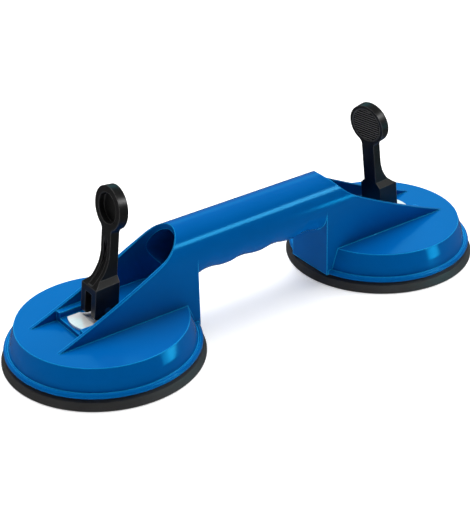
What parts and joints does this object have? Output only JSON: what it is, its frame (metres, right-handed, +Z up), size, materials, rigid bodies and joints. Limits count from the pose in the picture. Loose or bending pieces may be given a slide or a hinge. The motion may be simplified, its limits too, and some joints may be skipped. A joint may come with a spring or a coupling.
{
  "type": "double suction cup lifter",
  "caption": "Handheld suction lifter: round caps joined by a tubular grip with finger grooves, each cap with a rubber pad and a snap-over lever that pulls the pad up.",
  "frame": {"origin": "middle of the grip's length and width, at the level the pads stand on", "axes": "+X along the grip, +Z up from the glass towards the grip, +Y across the grip"},
  "size_m": [0.323, 0.118, 0.1038],
  "materials": {
    "blue_plastic": "glossy moulded plastic",
    "pad_rubber": "matt",
    "bright_steel": "polished",
    "plain_steel": "plain, darkened",
    "black_plastic": "satin moulded plastic"
  },
  "bodies": {
    "frame": {"housing": "blue_plastic", "left_suction_pad": "pad_rubber", "left_wear_plate": "bright_steel", "right_suction_pad": "pad_rubber", "right_wear_plate": "bright_steel"},
    "left_stem": {"left_pad_insert": "plain_steel", "left_pull_stem": "plain_steel"},
    "left_handle": {"left_lever": "black_plastic", "left_lever_pin": "plain_steel"},
    "right_stem": {"right_pad_insert": "plain_steel", "right_pull_stem": "plain_steel"},
    "right_handle": {"right_lever": "black_plastic", "right_lever_pin": "plain_steel"}
  },
  "joints": [
    {"name": "left_stem_lift", "type": "slide", "parent": "frame", "child": "left_stem", "axis": [0, 0, 1], "range_m": [0, 0.0035], "deforming": ["left_suction_pad"]},
    {"name": "left_lever_fold", "type": "hinge", "parent": "left_stem", "child": "left_handle", "pos_m": [-0.1025, 0, 0.032], "axis": [0, -1, 0], "range_deg": [0, 97]},
    {"name": "right_stem_lift", "type": "slide", "parent": "frame", "child": "right_stem", "axis": [0, 0, 1], "range_m": [0, 0.0035], "deforming": ["right_suction_pad"]},
    {"name": "right_lever_fold", "type": "hinge", "parent": "right_stem", "child": "right_handle", "pos_m": [0.1025, 0, 0.032], "axis": [-0.1564, 0.9877, 0], "range_deg": [0, 97]}
  ],
  "couplings": [
    {"joint": "left_lever_fold", "follows": "left_stem_lift", "rad_per_m": 483.7},
    {"joint": "right_lever_fold", "follows": "right_stem_lift", "rad_per_m": 483.7}
  ]
}
